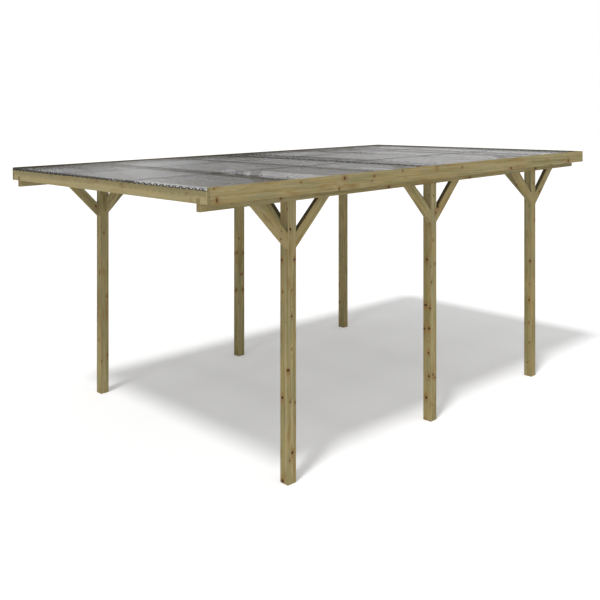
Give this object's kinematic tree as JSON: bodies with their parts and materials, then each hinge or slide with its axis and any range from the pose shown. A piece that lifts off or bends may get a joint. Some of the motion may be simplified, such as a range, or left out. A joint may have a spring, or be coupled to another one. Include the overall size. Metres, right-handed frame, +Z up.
{
  "type": "open timber carport",
  "caption": "Open timber carport: braced square posts carry long beams and a gently falling roof of corrugated translucent sheets inside fascia boards.",
  "frame": {"origin": "on the ground, in the middle of the whole plan", "axes": "+X along the long side towards the higher back edge of the roof, +Y to the left side, +Z up"},
  "size_m": [5.5582, 3.158, 2.4759],
  "materials": {
    "timber": "matte",
    "light_timber": "matte",
    "roof_plastic": "gloss"
  },
  "bodies": {
    "root": {"front_right_post": "timber", "front_left_post": "timber", "middle_right_post": "timber", "middle_left_post": "timber", "back_right_post": "timber", "back_left_post": "timber", "front_right_brace_fore": "timber", "front_right_brace_aft": "timber", "front_right_brace_cross": "timber", "front_left_brace_fore": "timber", "front_left_brace_aft": "timber", "front_left_brace_cross": "timber", "middle_right_brace_fore": "timber", "middle_right_brace_aft": "timber", "middle_right_brace_cross": "timber", "middle_left_brace_fore": "timber", "middle_left_brace_aft": "timber", "middle_left_brace_cross": "timber", "back_right_brace_fore": "timber", "back_right_brace_aft": "timber", "back_right_brace_cross": "timber", "back_left_brace_fore": "timber", "back_left_brace_aft": "timber", "back_left_brace_cross": "timber", "right_beam": "timber", "left_beam": "timber", "front_cross_beam": "timber", "middle_cross_beam": "timber", "back_cross_beam": "timber", "purlin_1": "timber", "purlin_2": "timber", "purlin_3": "timber", "purlin_4": "timber", "purlin_5": "timber", "purlin_6": "timber", "right_fascia": "timber", "left_fascia": "timber", "front_fascia": "light_timber", "back_fascia": "light_timber", "front_roof_sheet_right": "roof_plastic", "front_roof_sheet_middle": "roof_plastic", "front_roof_sheet_left": "roof_plastic", "back_roof_sheet_right": "roof_plastic", "back_roof_sheet_middle": "roof_plastic", "back_roof_sheet_left": "roof_plastic"}
  },
  "joints": []
}
